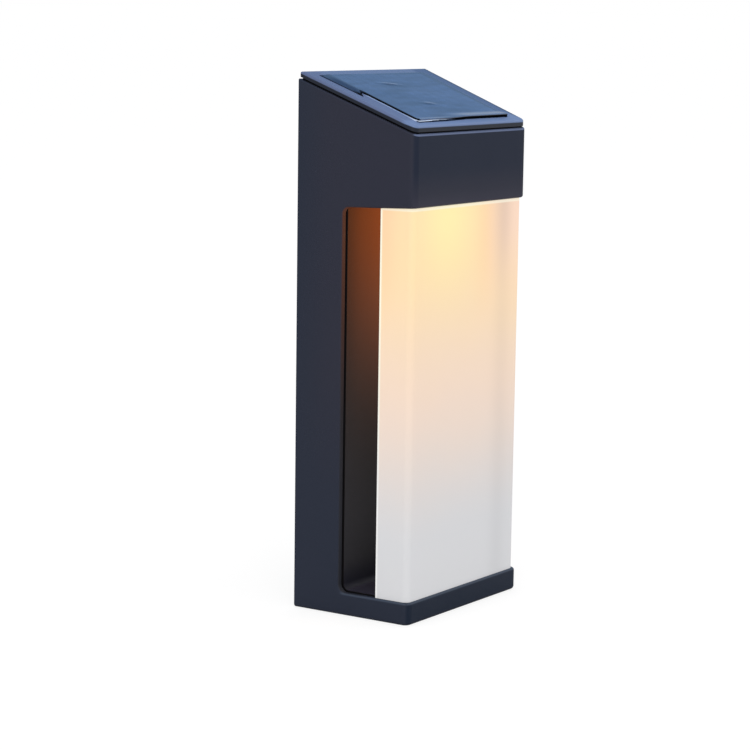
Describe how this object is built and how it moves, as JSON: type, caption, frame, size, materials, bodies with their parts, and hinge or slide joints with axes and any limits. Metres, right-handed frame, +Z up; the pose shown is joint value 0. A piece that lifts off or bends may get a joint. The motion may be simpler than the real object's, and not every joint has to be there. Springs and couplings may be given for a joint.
{
  "type": "solar wall light",
  "caption": "Solar wall light: dark C-shaped housing with a sloped solar panel on its head, a U-shaped frosted diffuser lit from above, and blind keyholes on its back.",
  "frame": {"origin": "midway between the centres of the two keyhole entries, on the wall plane", "axes": "+X to the right when facing the light's front, +Y into the wall, +Z up"},
  "size_m": [0.08, 0.05, 0.2],
  "materials": {
    "shell": "fine-grained dark blue-grey moulding",
    "liner": "satin dark moulding, lit warm from above",
    "diffuser": "frosted translucent white, glowing",
    "rear_plastic": "fine-grained dark moulding",
    "cover_plastic": "satin dark blue-grey moulding",
    "seal": "soft black silicone",
    "steel": "zinc-plated",
    "foam": "black foam tape",
    "solar_backing": "dark blue circuit board",
    "silicon": "dark blue silicon strips",
    "clear_sheet": "glossy clear sheet",
    "lens": "clear moulded window",
    "led_board": "white-coated aluminium circuit board",
    "led": "yellow phosphor, lit",
    "cell_sleeve": "blue shrink sleeve on a metal can",
    "nickel": "nickel strip",
    "strap": "black nylon",
    "circuit_board": "green solder mask",
    "chip": "black moulded package",
    "ferrite": "grey ferrite",
    "capacitor": "aluminium can",
    "socket": "ivory nylon",
    "switch": "black switch case",
    "plunger": "white acetal",
    "button": "soft dark grey silicone",
    "red_wire": "red wire insulation",
    "black_wire": "black wire insulation"
  },
  "bodies": {
    "lamp": {"housing": "shell", "inner_liner": "liner", "liner_screws": "steel", "diffuser": "diffuser", "rear_cover": "rear_plastic", "rear_cover_seal": "seal", "rear_cover_screws": "steel", "top_cover": "cover_plastic", "top_cover_seal": "seal", "top_cover_screws": "steel", "solar_tape": "foam", "solar_board": "solar_backing", "solar_cells": "silicon", "solar_sheet": "clear_sheet", "led_lens": "lens", "led_lens_seal": "seal", "led_board": "led_board", "leds": "led", "led_board_screws": "steel", "battery_cell": "cell_sleeve", "battery_tabs": "nickel", "battery_strap": "strap", "battery_strap_screws": "steel", "control_board": "circuit_board", "control_board_screws": "steel", "charge_chip": "chip", "charge_inductor": "ferrite", "board_capacitor": "capacitor", "board_resistors": "chip", "lead_connectors": "socket", "switch_body": "switch", "solar_lead_red": "red_wire", "solar_lead_black": "black_wire", "battery_lead_red": "red_wire", "battery_lead_black": "black_wire", "led_lead_red": "red_wire", "led_lead_black": "black_wire"},
    "button": {"push_button": "button", "button_washer": "seal", "switch_plunger": "plunger"}
  },
  "joints": [
    {"name": "button_press", "type": "slide", "parent": "lamp", "child": "button", "axis": [0, -1, 0], "range_m": [0, 0.0015], "stiffness_N_per_m": 1000, "springref_m": -0.001}
  ]
}
